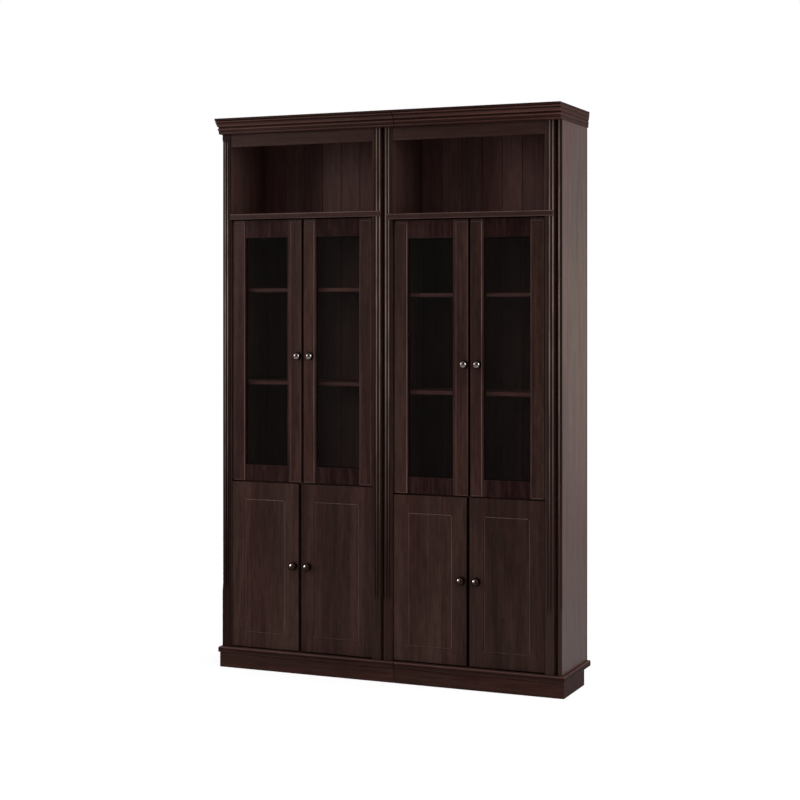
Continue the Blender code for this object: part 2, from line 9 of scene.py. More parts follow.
import bmesh
import bpy
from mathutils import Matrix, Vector


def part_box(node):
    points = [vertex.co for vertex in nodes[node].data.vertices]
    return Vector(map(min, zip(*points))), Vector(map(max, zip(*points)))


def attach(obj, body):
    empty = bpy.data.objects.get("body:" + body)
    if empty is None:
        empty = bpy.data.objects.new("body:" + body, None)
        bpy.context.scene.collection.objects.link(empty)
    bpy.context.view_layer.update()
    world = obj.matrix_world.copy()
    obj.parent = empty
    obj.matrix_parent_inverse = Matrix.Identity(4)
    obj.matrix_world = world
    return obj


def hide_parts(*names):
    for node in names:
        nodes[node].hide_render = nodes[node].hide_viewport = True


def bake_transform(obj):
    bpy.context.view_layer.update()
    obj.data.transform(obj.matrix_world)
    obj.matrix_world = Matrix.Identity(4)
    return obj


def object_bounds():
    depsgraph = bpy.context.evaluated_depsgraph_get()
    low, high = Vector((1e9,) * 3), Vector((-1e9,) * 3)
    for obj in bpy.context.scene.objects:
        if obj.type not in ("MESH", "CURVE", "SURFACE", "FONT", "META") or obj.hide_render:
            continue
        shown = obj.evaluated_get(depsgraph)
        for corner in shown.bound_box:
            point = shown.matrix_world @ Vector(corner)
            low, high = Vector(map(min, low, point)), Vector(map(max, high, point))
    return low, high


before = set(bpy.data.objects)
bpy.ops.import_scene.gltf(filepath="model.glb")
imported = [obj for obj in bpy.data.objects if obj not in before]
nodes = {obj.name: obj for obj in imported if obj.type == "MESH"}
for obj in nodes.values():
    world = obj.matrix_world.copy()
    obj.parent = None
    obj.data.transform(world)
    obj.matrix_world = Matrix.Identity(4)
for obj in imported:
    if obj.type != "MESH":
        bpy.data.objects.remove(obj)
cad_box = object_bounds()
front_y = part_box("centre_upright_left")[0].y

BAYS = ("left_bay", "right_bay")
SIDES = (("left", -1), ("right", 1))
AXES = {"X": 0, "Y": 1, "Z": 2}

# Colours of the stained wood, as linear dark, middle and light tones
FRONT_TONES = ((0.021, 0.0090, 0.0075), (0.038, 0.0174, 0.0145), (0.060, 0.0300, 0.0250))
SIDE_TONES = ((0.048, 0.0305, 0.0265), (0.074, 0.0510, 0.0450), (0.102, 0.0730, 0.0650))
INNER_TONES = ((0.064, 0.0310, 0.0280), (0.098, 0.0500, 0.0455), (0.138, 0.0740, 0.0670))
LINING_TONES = ((0.077, 0.0375, 0.0320), (0.110, 0.0590, 0.0500), (0.147, 0.0840, 0.0710))
RAIL_TONES = ((0.0110, 0.0042, 0.0042), (0.0220, 0.0092, 0.0088), (0.0400, 0.0190, 0.0180))
STILE_TONES = ((0.0190, 0.0076, 0.0064), (0.0350, 0.0150, 0.0126), (0.0590, 0.0280, 0.0234))
# Cream of the reeds' lighter arrises: partly thinned stain, mostly painted highlight.
REED_THIN_STAIN_AND_HIGHLIGHT = (0.300, 0.212, 0.182)

# How strongly the painted highlights and groove shade on the reeds show, from one height (m) to another
REED_LIGHT_BY_HEIGHT = (0.38, 1.45, 0.00, 1.00)

# Tone of a piece across its height: (share of the height, tone, how much less green and blue).
# These bands, and every shade and fade below, stand in for studio highlights and shadows. They are not
# colours of the wood itself, and they stay on the piece when the light changes.
CORNICE_BANDS = ((0.00, 1.10, 1.0), (0.03, 1.60, 1.0), (0.11, 1.60, 1.0), (0.14, 0.95, 1.0),
                 (0.25, 1.0, 1.0), (0.29, 2.70, 1.0), (0.35, 2.70, 1.0), (0.38, 0.65, 0.85),
                 (0.465, 0.65, 0.85), (0.49, 2.50, 1.0), (0.55, 2.20, 1.0), (0.66, 1.20, 1.0),
                 (0.68, 0.65, 0.90), (0.72, 0.75, 0.90), (0.76, 2.50, 1.0), (0.84, 2.50, 1.0),
                 (0.865, 0.70, 0.80), (1.00, 0.65, 0.80))
PLINTH_BANDS = ((0.00, 0.75, 0.9), (0.05, 1.1, 1.0), (0.90, 1.1, 1.0), (0.97, 0.90, 1.0), (1.00, 0.80, 1.0))
BASE_BANDS = ((0.00, 0.90, 1.0), (0.40, 0.72, 0.95), (0.60, 0.48, 0.9), (0.68, 0.48, 0.9), (0.74, 1.5, 1.0),
              (0.92, 1.6, 1.0), (1.00, 1.2, 1.0))
SHELF_BANDS = ((0.00, 0.10, 0.9), (0.14, 0.12, 0.9), (0.22, 1.0, 1.0), (0.85, 1.05, 1.0), (1.00, 0.8, 1.0))
RETURN_SHADE = (0.36, 0.21, 0.18)
SIDE_FADE = ((0.00, (0.50, 0.38, 0.38)), (0.16, (0.56, 0.44, 0.44)), (0.43, (0.96, 0.95, 0.97)),
             (0.68, (1.0, 1.0, 1.0)), (0.95, (0.84, 0.76, 0.78)))
CENTRE_FADE = ((0.0, (2.6, 2.6, 2.6)), (1.0, (2.6, 2.6, 2.6)))
POST_SHADE = {"left_side_panel": 0.46, "centre_upright_left": 0.85,
              "centre_upright_right": 0.70, "right_side_panel": 0.95}
SLAB_SHADE = {"left": 1.05, "right": 0.86}
FRIEZE_SHADE = {"left_bay_frieze": 1.0, "right_bay_frieze": 1.15}
BEAD_SHADE = 0.12

# Painted light and shade on the back boards: their tone behind the doors, and above the niche floor
BACK_SHADES = {"left_bay": (0.75, 1.1), "right_bay": (0.55, 1.3)}

# Painted reflections and highlights on the knobs, as patches on their metal: (direction, start and full dot
# product, colour)
MIRRORED_DARK = (0.020, 0.016, 0.014)
POLISHED_PATCHES = (((0.42, -0.86, 0.28), 0.925, 0.965, MIRRORED_DARK),
                    ((0.0, 0.0, 1.0), 0.42, 0.62, MIRRORED_DARK),
                    ((-0.92, -0.38, 0.0), 0.74, 0.88, MIRRORED_DARK),
                    ((0.92, 0.38, 0.0), 0.74, 0.88, MIRRORED_DARK),
                    ((0.74, -0.65, 0.16), 0.93, 0.97, (0.90, 0.85, 0.82)))
BRONZE_PATCHES = (((-0.12, -0.96, 0.27), 0.955, 0.985, (0.62, 0.52, 0.46)),)

# Reeds: how far the nearer crown's painted highlight sits from the opening edge, and where the left post
# turns plain
CROWN_HIGHLIGHT_PLACE = {"left_side_panel": 0.0135, "centre_upright_left": 0.0162,
                   "centre_upright_right": 0.0135, "right_side_panel": 0.0162}
NECK_HEIGHT = 2.111

# Joinery
PLAY = 0.0003
EASED = 0.0007
STAVE = 0.062
BOARD_PITCH = 0.085
GROOVE_SPAN = 0.620
GROOVE_HALF_WIDTH = 0.0015
GROOVE_DEPTH = 0.0015
TONGUE = 0.005
TONGUE_HALF = 0.0018
NAIL_HEIGHTS = (0.005, 0.175, 0.315, 0.5, 0.66, 0.83, 0.995)
NAIL_SPREAD = 0.27
NAIL_PROFILE = ((0.0012, -0.001), (0.0016, 0.0), (0.0014, 0.0003))
PIN_PROFILE = ((0.0022, 0.0002), (0.0058, 0.0002), (0.0060, 0.0010), (0.0058, 0.0018), (0.0026, 0.0022),
               (0.0025, 0.0095), (0.0018, 0.0102))
PIN_FROM_FRONT = 0.035
PIN_FROM_BACK = 0.040
PIN_DROP = 0.0028
STILE_RELIEF = 0.004
STILE_BORDER = 0.006
STILE_TOP_BORDER = 0.009
MEETING_STEP = 0.012
MEETING_BORDER = 0.005
BEAD_WIDTH = 0.0045
# Stiles: width along the outer edge whose arrises get painted shade instead of the lighter tone
DARK_EDGE = 0.003
NO_EDGE = -0.010
SLAB_ROUND = 0.002
ROUT_SIDE = 0.057
ROUT_TOP = 0.0655
ROUT_CORNER = 0.006
ROUT_PROFILE = ((0.0, 0.0), (0.0004, 0.0010), (0.0010, 0.0024), (0.0022, 0.0026), (0.0036, 0.0019),
                (0.0050, 0.0007), (0.0062, 0.0))

KNOB_SCREW_RADIUS = 0.0042

# Concealed hinges
CUP_RADIUS = 0.0175
CUP_DEPTH = 0.011
CUP_EDGE_DISTANCE = 0.0225
FLANGE_OFFSET = 0.0095
FLANGE_HALF_WIDTH = 0.0060
FLANGE_HALF_LENGTH = 0.0300
FLANGE_INNER_END = 0.0168
FLANGE_SCREW_OFFSET = 0.0240
PLATE_SCREW_OFFSET = 0.0165
LINK_HALF_GAP = 0.0030
LINK_HALF_HEIGHT = 0.0022
LINK_HALF_THICKNESS = 0.0009
LINK_STEPS = 24

# Studio: (name, place, target, width, height, watts), and the camera
LIGHTS = (("side_light", (2.9, 0.6, 1.3), (0.7, 0.1, 1.2), 1.2, 1.2, 58.0),
          ("right_light", (3.4, -0.9, 2.1), (0.0, -0.1, 1.3), 1.3, 1.5, 20.0),
          ("front_light", (-3.5, -3.3, 2.4), (0.0, -0.1, 1.2), 1.2, 2.2, 52.0),
          ("top_light", (0.3, -0.6, 4.8), (0.0, -0.3, 0.0), 3.5, 3.0, 60.0))
CAMERA_PLACE = (2.600, -6.054, 1.440)
CAMERA_TURN = 23.2
CAMERA_LENS = 75.4
CAMERA_SHIFT = -0.1142


# ---------------------------------------------------------------- materials

class Graph:
    """A new material's node tree, with short ways to add nodes and feed their sockets."""

    def __init__(self, name):
        self.material = bpy.data.materials.new(name)
        self.material.use_nodes = True
        self.tree = self.material.node_tree
        self.shader = self.tree.nodes["Principled BSDF"]
        self.place = self.add("TexCoord")

    def add(self, kind, inputs=(), **settings):
        """Add one shader node, set its properties, and feed its inputs by name or number."""
        node = self.tree.nodes.new("ShaderNode" + kind)
        for key, value in settings.items():
            setattr(node, key, value)
        for key, value in dict(inputs).items():
            self.feed(node.inputs[key], value)
        return node

    def feed(self, socket, value):
        """Link a socket, or set a plain value."""
        if isinstance(value, bpy.types.NodeSocket):
            self.tree.links.new(value, socket)
        else:
            socket.default_value = value

    def calc(self, operation, *values):
        """Result of a Math node."""
        return self.add("Math", enumerate(values), operation=operation).outputs[0]

    def span(self, value, low, high, out_low=0.0, out_high=1.0):
        """Smooth step of a value from one range to another."""
        inputs = {"Value": value, "From Min": low, "From Max": high, "To Min": out_low, "To Max": out_high}
        return self.add("MapRange", inputs, interpolation_type="SMOOTHSTEP").outputs["Result"]

    def mix(self, factor, first, second, blend="MIX"):
        """Mix of two colours."""
        node = self.add("Mix", {0: factor, 6: first, 7: second}, data_type="RGBA", blend_type=blend)
        return node.outputs[2]

    def coords(self, scale, offset=(0.0, 0.0, 0.0)):
        """The piece's own coordinates, in metres, moved and then scaled."""
        inputs = {"Vector": self.place.outputs["Object"], "Location": offset, "Scale": scale}
        return self.add("Mapping", inputs).outputs[0]

    def noise(self, vector, detail=2.0, roughness=0.5, distortion=0.0):
        """Soft noise from 0 to 1."""
        inputs = {"Vector": vector, "Scale": 1.0, "Detail": detail, "Roughness": roughness,
                  "Distortion": distortion}
        return self.add("TexNoise", inputs).outputs["Fac"]

    def ramp(self, value, stops):
        """Colour ramp through (position, colour) stops."""
        node = self.add("ValToRGB", {"Fac": value})
        elements = node.color_ramp.elements
        while len(elements) < len(stops):
            elements.new(0.5)
        for element, (position, colour) in zip(elements, stops):
            element.position = position
            element.color = (*colour, 1.0)
        return node.outputs["Color"]

    def bump(self, height, strength, distance):
        """Feed a bump to the shader."""
        inputs = {"Height": height, "Strength": strength, "Distance": distance}
        self.feed(self.shader.inputs["Normal"], self.add("Bump", inputs).outputs[0])

    def set(self, **values):
        """Feed the shader's own sockets, with underscores for the spaces in their names."""
        for key, value in values.items():
            self.feed(self.shader.inputs[key.replace("_", " ")], value)


def stained_wood(name, tones, grain, seed, gloss=0.42, contrast=1.0, stave=0.0, knots=0.0, thin_stain_and_glint_amount=1.0,
                 shine=0.16, thin_stain_and_glint_gain=2.4, reeds=None, lined=None, members=None, field=None):
    """Dark stained pine with its grain along one axis.

    Layers: growth rings as contour lines of a stretched noise, streaks, fine fibres and pores, slow drifts
    of tone and hue, glued staves, knots, a lighter tone along every arris that is partly stain thinned there
    and partly painted highlight, and painted shade in crevices. Arrises outside field get painted shade
    instead.
    members and lined add shading that stands in for the light.
    """
    graph = Graph(name)
    along = AXES[grain]
    offset = (seed * 1.37 % 7.0, seed * 2.11 % 5.0, seed * 3.73 % 9.0)

    def stretched(across, length):
        scale = [across] * 3
        scale[along] = length
        return graph.coords(scale, [o * s for o, s in zip(offset, scale)])

    figure = graph.noise(stretched(7.0, 0.45), 2.0, 0.45, 0.3)
    rings = graph.calc("PINGPONG", graph.calc("MULTIPLY", figure, 13.0), 1.0)
    streaks = graph.noise(stretched(120.0, 4.5), 4.0, 0.62)
    flecks = graph.noise(stretched(75.0, 16.0), 3.0, 0.55, 0.4)
    fibres = graph.noise(stretched(620.0, 16.0), 3.0, 0.6)
    pores = graph.noise(stretched(900.0, 42.0), 1.0, 0.5)
    drift = graph.noise(stretched(5.0, 1.4), 2.0, 0.5)
    tone = 0.5
    for layer, weight in ((rings, 0.20), (streaks, 0.80), (flecks, 0.55), (fibres, 0.60), (drift, 0.55)):
        tone = graph.calc("MULTIPLY_ADD", graph.calc("SUBTRACT", layer, 0.5), weight * contrast, tone)
    if stave:
        pitch = 1.0 / stave
        across = [pitch, 0.0, 0.0] if along != 0 else [0.0, pitch, pitch]
        cells = graph.add("VectorMath", {0: graph.coords(across, offset)}, operation="FLOOR").outputs[0]
        shade = graph.add("TexWhiteNoise", {"Vector": cells}, noise_dimensions="3D").outputs["Value"]
        tone = graph.calc("MULTIPLY_ADD", graph.calc("SUBTRACT", shade, 0.5), 0.26, tone)
    colour = graph.ramp(tone, ((0.18, tones[0]), (0.50, tones[1]), (0.84, tones[2])))
    hue = graph.noise(stretched(11.0, 0.9), 2.0, 0.5)
    tint = graph.ramp(hue, ((0.36, (0.96, 1.02, 0.98)), (0.64, (1.08, 0.96, 0.97))))
    colour = graph.mix(1.0, colour, tint, "MULTIPLY")
    speck = graph.span(pores, 0.66, 0.74)
    colour = graph.mix(graph.calc("MULTIPLY", speck, 0.55), colour, darker(tones, 0.4))
    if knots:
        core = knot_cores(graph, stretched(3.6, 2.1), streaks)
        colour = graph.mix(graph.calc("MULTIPLY", core, knots), colour, darker(tones, 0.35))

    normal = graph.add("VectorMath", {0: graph.place.outputs["Normal"]}, operation="ABSOLUTE").outputs[0]
    parts = graph.add("SeparateXYZ", {0: normal})
    parted = graph.add("SeparateXYZ", {0: graph.place.outputs["Object"]})
    facing = graph.calc("MAXIMUM", parts.outputs[0], parts.outputs[1])
    facing = graph.calc("MAXIMUM", facing, parts.outputs[2])
    # Arrises take a lighter tone: partly stain thinned on the edges, partly painted highlight.
    arris = graph.span(graph.calc("SUBTRACT", 1.0, facing), 0.03, 0.24)
    uneven = graph.span(graph.noise(stretched(60.0, 7.0), 3.0, 0.6), 0.30, 0.70, 0.45, 1.0)
    thin_stain_and_glint = graph.calc("MULTIPLY", graph.calc("MULTIPLY", arris, uneven), thin_stain_and_glint_amount)
    hollow = 0.85
    # Outside field the arrises get painted shade and lose their lighter tone.
    if field:
        inside = inside_field(graph, parted, field)
        border = graph.calc("MULTIPLY", graph.calc("SUBTRACT", 1.0, inside), graph.span(arris, 0.0, 0.6))
        colour = graph.mix(graph.calc("MULTIPLY", border, 0.8), colour, darker(tones, 0.3))
        thin_stain_and_glint = graph.calc("MULTIPLY", thin_stain_and_glint, inside)
    if members:
        colour = moulding_bands(graph, colour, members, parted, parts)
    # Reeds: painted highlights on the crowns, painted shade in the grooves.
    if reeds:
        thin_stain_and_glint, groove, hollow = reed_masks(graph, reeds, thin_stain_and_glint, uneven, parted, parts)
        colour = graph.mix(groove, colour, darker(tones, 0.25))
    if lined:
        colour = lined_faces(graph, colour, tones, lined, parted)
    # The lighter arris tone itself; on the reeds it is a cream, mostly painted highlight.
    thin_stain_and_glint_colour = REED_THIN_STAIN_AND_HIGHLIGHT if reeds else tuple(thin_stain_and_glint_gain * (0.75 * t + 0.25 * tones[2][0]) for t in tones[2])
    colour = graph.mix(thin_stain_and_glint, colour, (*thin_stain_and_glint_colour, 1.0))
    # Painted shade in crevices, from ambient occlusion within 8 mm, scaled by hollow.
    shelter = graph.add("AmbientOcclusion", {"Distance": 0.008}, samples=6, only_local=True).outputs["AO"]
    shade_in_creases = graph.calc("MULTIPLY", graph.span(shelter, 0.62, 0.30), hollow)
    colour = graph.mix(shade_in_creases, colour, darker(tones, 0.25))

    graph.set(Base_Color=colour, Specular_IOR_Level=shine, Specular_Tint=(1.0, 0.76, 0.68, 1.0))
    rough = graph.calc("MULTIPLY_ADD", graph.calc("SUBTRACT", 0.5, streaks), 0.30, gloss)
    graph.set(Roughness=graph.calc("MULTIPLY_ADD", speck, 0.12, rough))
    height = graph.calc("MULTIPLY_ADD", fibres, 0.6, graph.calc("MULTIPLY", rings, 0.25))
    height = graph.calc("MULTIPLY_ADD", speck, -0.5, height)
    graph.bump(height, 0.35, 0.0004)
    return graph.material


def darker(tones, share):
    """The darkest of three tones, darkened further."""
    return (*(share * channel for channel in tones[0]), 1.0)


def knot_cores(graph, vector, streaks):
    """Scattered small knots, their outlines broken by the streaks."""
    spots = graph.add("TexVoronoi", {"Vector": vector, "Scale": 1.0, "Randomness": 1.0})
    kept = graph.span(graph.add("SeparateColor", {0: spots.outputs["Color"]}).outputs[0], 0.62, 0.66)
    ragged = graph.calc("MULTIPLY", graph.calc("SUBTRACT", streaks, 0.5), 0.05)
    near = graph.calc("ADD", spots.outputs["Distance"], ragged)
    return graph.calc("MULTIPLY", graph.span(near, 0.055, 0.020), kept)


def reed_masks(graph, reeds, thin_stain_and_glint, uneven, parted, parts):
    """Painted highlights on reed crowns, stronger higher up: the arris tone, painted groove shade and
    hollows.
    """
    flat_edge, first_highlight, plain_above = reeds
    depth = graph.calc("SUBTRACT", parted.outputs[1], front_y)
    from_flat = graph.calc("ABSOLUTE", graph.calc("SUBTRACT", parted.outputs[0], flat_edge))
    # Painted highlight near the face of each crown, from the given distance on and below plain_above.
    crown = graph.calc("MULTIPLY", graph.span(depth, 0.0011, 0.0002),
                       graph.span(from_flat, first_highlight - 0.0040, first_highlight - 0.0034))
    crown = graph.calc("MULTIPLY", crown, graph.span(parted.outputs[2], plain_above, plain_above - 0.004))
    crown = graph.calc("MULTIPLY", crown, graph.span(from_flat, 0.060, 0.055))
    crown = graph.calc("MULTIPLY", crown, uneven)
    thin_stain_and_glint = graph.calc("MAXIMUM", graph.calc("MULTIPLY", thin_stain_and_glint, 0.15), crown)
    # Painted highlights and groove shade vary with height, as the studio light falls.
    light_by_height = graph.calc("MULTIPLY", graph.span(parted.outputs[2], *REED_LIGHT_BY_HEIGHT),
                      graph.span(parted.outputs[2], 1.70, 2.05, 1.0, 0.65))
    hollow = graph.span(light_by_height, 0.0, 0.6, 0.45, 0.85)
    # Painted shade in the grooves between the beads.
    groove = graph.calc("MULTIPLY", graph.span(depth, 0.0016, 0.0036), graph.span(depth, 0.0070, 0.0055))
    groove = graph.calc("MULTIPLY", groove, graph.span(parts.outputs[1], 0.05, 0.25))
    return graph.calc("MULTIPLY", thin_stain_and_glint, light_by_height), graph.calc("MULTIPLY", groove, hollow), hollow


def lined_faces(graph, colour, own_tones, lined, parted):
    """Own tones for an upright's front edge and shelf side, and painted light and shade over its other side.
    """
    outer_x, front_tones, lining_tones, outside = lined

    def ratio(tones):
        return (*(wanted / own for wanted, own in zip(tones[1], own_tones[1])), 1.0)

    behind = graph.span(parted.outputs[1], front_y + 0.005, front_y + 0.007)
    from_outside = graph.calc("ABSOLUTE", graph.calc("SUBTRACT", parted.outputs[0], outer_x))
    inner = graph.span(from_outside, 0.010, 0.014)
    share = graph.calc("DIVIDE", parted.outputs[2], cad_box[1].z)
    tone = graph.mix(inner, graph.ramp(share, outside), ratio(lining_tones))
    return graph.mix(1.0, colour, graph.mix(behind, ratio(front_tones), tone), "MULTIPLY")


def inside_field(graph, parted, field):
    """1 inside a rectangle (x0, x1, z0, z1) of a door's face, 0 outside."""
    x0, x1, z0, z1 = field
    soft = 0.001
    across = graph.calc("MULTIPLY", graph.span(parted.outputs[0], x0 - soft, x0),
                        graph.span(parted.outputs[0], x1 + soft, x1))
    upward = graph.calc("MULTIPLY", graph.span(parted.outputs[2], z0 - soft, z0),
                        graph.span(parted.outputs[2], z1 + soft, z1))
    return graph.calc("MULTIPLY", across, upward)


def moulding_bands(graph, colour, members, parted, parts):
    """Painted bands of highlight and shade by height in front of back_y, and painted shade on the returns."""
    low, high, stops, back_y = members
    ends = {"Value": parted.outputs[2], "From Min": low, "From Max": high}
    share = graph.add("MapRange", ends).outputs["Result"]
    bands = graph.ramp(share, [(place, (tone, tone * fade, tone * fade)) for place, tone, fade in stops])
    colour = graph.mix(graph.span(parted.outputs[1], back_y, back_y - 0.001), colour,
                       graph.mix(1.0, colour, bands, "MULTIPLY"))
    end = graph.span(parts.outputs[0], 0.6, 0.9)
    return graph.mix(end, colour, graph.mix(1.0, colour, (*RETURN_SHADE, 1.0), "MULTIPLY"))


def pane_glass(name):
    """Pane that shows four fifths of what lies behind, under a near-black layer of painted shade, and a faint
    uneven film.
    """
    graph = Graph(name)
    film = graph.noise(graph.coords((9.0, 9.0, 5.0)), 4.0, 0.6)
    graph.set(Base_Color=graph.ramp(film, ((0.3, (0.006, 0.005, 0.005)), (0.7, (0.011, 0.009, 0.008)))))
    graph.set(Roughness=graph.span(film, 0.35, 0.75, 0.015, 0.06))
    graph.set(IOR=1.5, Specular_IOR_Level=0.25, Alpha=0.20)
    graph.material.surface_render_method = "BLENDED"
    return graph.material


def worked_metal(name, dark, light, roughness, scratch=0.10, clouding=0.12, patches=()):
    """Metal with an uneven polish and turning marks, and painted reflections on faces that look given ways.
    """
    graph = Graph(name)
    cloud = graph.noise(graph.coords((140.0, 140.0, 140.0)), 4.0, 0.6)
    marks = graph.noise(graph.coords((500.0, 4000.0, 500.0)), 2.0, 0.5)
    colour = graph.ramp(cloud, ((0.3, dark), (0.7, light)))
    for direction, low, high, patch in patches:
        normal = graph.place.outputs["Normal"]
        facing = graph.add("VectorMath", {0: normal, 1: direction}, operation="DOT_PRODUCT").outputs["Value"]
        colour = graph.mix(graph.span(facing, low, high), colour, (*patch, 1.0))
    graph.set(Base_Color=colour, Metallic=1.0)
    dull = graph.span(cloud, 0.3, 0.7, roughness, roughness + clouding)
    graph.set(Roughness=graph.calc("MULTIPLY_ADD", marks, scratch, dull))
    graph.bump(marks, 0.08, 0.0001)
    return graph.material


def matt_floor(name):
    """Pale studio floor that fades out into the backdrop."""
    graph = Graph(name)
    mottle = graph.noise(graph.coords((1.3, 1.3, 1.3)), 3.0, 0.5)
    graph.set(Base_Color=graph.ramp(mottle, ((0.3, (0.86, 0.86, 0.86)), (0.7, (0.90, 0.90, 0.90)))))
    graph.set(Roughness=0.9, Specular_IOR_Level=0.1)
    graph.set(Emission_Color=(1.0, 1.0, 1.0, 1.0), Emission_Strength=0.45)
    away = graph.add("VectorMath", {0: graph.coords((1.0, 1.0, 1.0))}, operation="LENGTH").outputs["Value"]
    graph.set(Alpha=graph.span(away, 2.6, 5.2, 0.30, 0.0))
    return graph.material


# ---------------------------------------------------------------- mesh tools

def new_object(name, bm, material=None):
    """Make an object from a bmesh, which is freed."""
    mesh = bpy.data.meshes.new(name)
    bm.to_mesh(mesh)
    bm.free()
    if material:
        mesh.materials.append(material)
    made = bpy.data.objects.new(name, mesh)
    bpy.context.scene.collection.objects.link(made)
    return made


def new_piece(name, bm, material, body, stands_for=(), smooth=30.0):
    """Make an object from a closed bmesh in world coordinates, and ride it on its body."""
    bmesh.ops.recalc_face_normals(bm, faces=bm.faces)
    piece = new_object(name, bm, material)
    piece.data.shade_smooth()
    piece.data.set_sharp_from_angle(angle=math.radians(smooth))
    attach(piece, body)
    if stands_for:
        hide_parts(*stands_for)
    return piece


def round_edges(piece, width, segments=2):
    """Round the sharp edges of a piece, and keep its large faces flat in shading."""
    rounding = piece.modifiers.new("rounding", "BEVEL")
    rounding.width = width
    rounding.segments = segments
    rounding.limit_method = "ANGLE"
    rounding.angle_limit = math.radians(40.0)
    keep_flat(piece)


def keep_flat(piece):
    """Shade large faces flat, so that only the narrow ones between them look round."""
    flat = piece.modifiers.new("flat_faces", "WEIGHTED_NORMAL")
    flat.weight = 90
    flat.keep_sharp = True


def soften_node(node, width):
    """Weld a frame node's faces together and round its sharp edges."""
    mesh = node.data
    if "custom_normal" in mesh.attributes:
        mesh.attributes.remove(mesh.attributes["custom_normal"])
    mesh.shade_smooth()
    weld = node.modifiers.new("weld", "WELD")
    weld.merge_threshold = 0.00001
    round_edges(node, width)


def loft(rings):
    """Closed solid through rings of equal length, with a cap at each end."""
    bm = bmesh.new()
    loops = [[bm.verts.new(point) for point in ring] for ring in rings]
    for lower, upper in zip(loops, loops[1:]):
        for i in range(len(lower)):
            j = (i + 1) % len(lower)
            bm.faces.new((lower[i], lower[j], upper[j], upper[i]))
    bm.faces.new(loops[0][::-1])
    bm.faces.new(loops[-1])
    return bm


def merged(parts):
    """One bmesh that holds several."""
    whole = bmesh.new()
    for part in parts:
        mesh = bpy.data.meshes.new("part")
        part.to_mesh(mesh)
        part.free()
        whole.from_mesh(mesh)
        bpy.data.meshes.remove(mesh)
    return whole


def ring(area, y, radius=0.0005, steps=4):
    """Rectangle (x0, x1, z0, z1) in a door's plane with rounded corners."""
    x0, x1, z0, z1 = area
    corners = ((x1 - radius, z0 + radius, -90), (x1 - radius, z1 - radius, 0),
               (x0 + radius, z1 - radius, 90), (x0 + radius, z0 + radius, 180))
    points = []
    for centre_x, centre_z, start in corners:
        for step in range(steps + 1):
            angle = math.radians(start + 90 * step / steps)
            points.append((centre_x + radius * math.cos(angle), y, centre_z + radius * math.sin(angle)))
    return points


def inset(area, left, right=None, bottom=None, top=None):
    """A rectangle (x0, x1, z0, z1) drawn in by one margin or by four."""
    margins = [left if margin is None else margin for margin in (left, right, bottom, top)]
    return (area[0] + margins[0], area[1] - margins[1], area[2] + margins[2], area[3] - margins[3])


def turned(profile, centre, axis, segments=32):
    """Solid of revolution: profile is (radius, distance along the axis) from one end to the other."""
    axis = Vector(axis).normalized()
    side = axis.orthogonal().normalized()
    other = axis.cross(side)
    centre = Vector(centre)
    turns = [2 * math.pi * i / segments for i in range(segments)]
    rings = []
    for radius, along in profile:
        rings.append([centre + axis * along + (side * math.cos(t) + other * math.sin(t)) * radius
                      for t in turns])
    return loft(rings)


def screw(centre, axis, radius):
    """Countersunk screw head with a cross recess, its rim at centre and facing along axis."""
    axis = Vector(axis).normalized()
    side = axis.orthogonal().normalized()
    other = axis.cross(side)
    count = 24

    def around(scale, along, cross=False):
        points = []
        for i in range(count):
            turn = 2 * math.pi * i / count
            wide = i % 6 in (5, 0, 1)
            reach = radius * scale * ((1.0 if wide else 0.36) if cross else 1.0)
            points.append(Vector(centre) + axis * along
                          + (side * math.cos(turn) + other * math.sin(turn)) * reach)
        return points

    dome = radius * 0.22
    return loft([around(0.80, -radius * 0.3), around(1.0, 0.0), around(0.97, dome * 0.4),
                 around(0.80, dome * 0.85), around(0.55, dome, True), around(0.42, -dome, True)])


# ---------------------------------------------------------------- carcass

def tinted(tones, factor):
    """Tones made lighter or darker."""
    return tuple(tuple(channel * factor for channel in tone) for tone in tones)


def reed_layout(node_name):
    """x of an upright's edge beside the opening, where the first crown's painted highlight sits, and the
    reeds' top.
    """
    low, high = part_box(node_name)
    flat_edge = high.x if node_name in ("left_side_panel", "centre_upright_right") else low.x
    top = NECK_HEIGHT if node_name == "left_side_panel" else high.z + 0.1
    return flat_edge, CROWN_HIGHLIGHT_PLACE[node_name], top


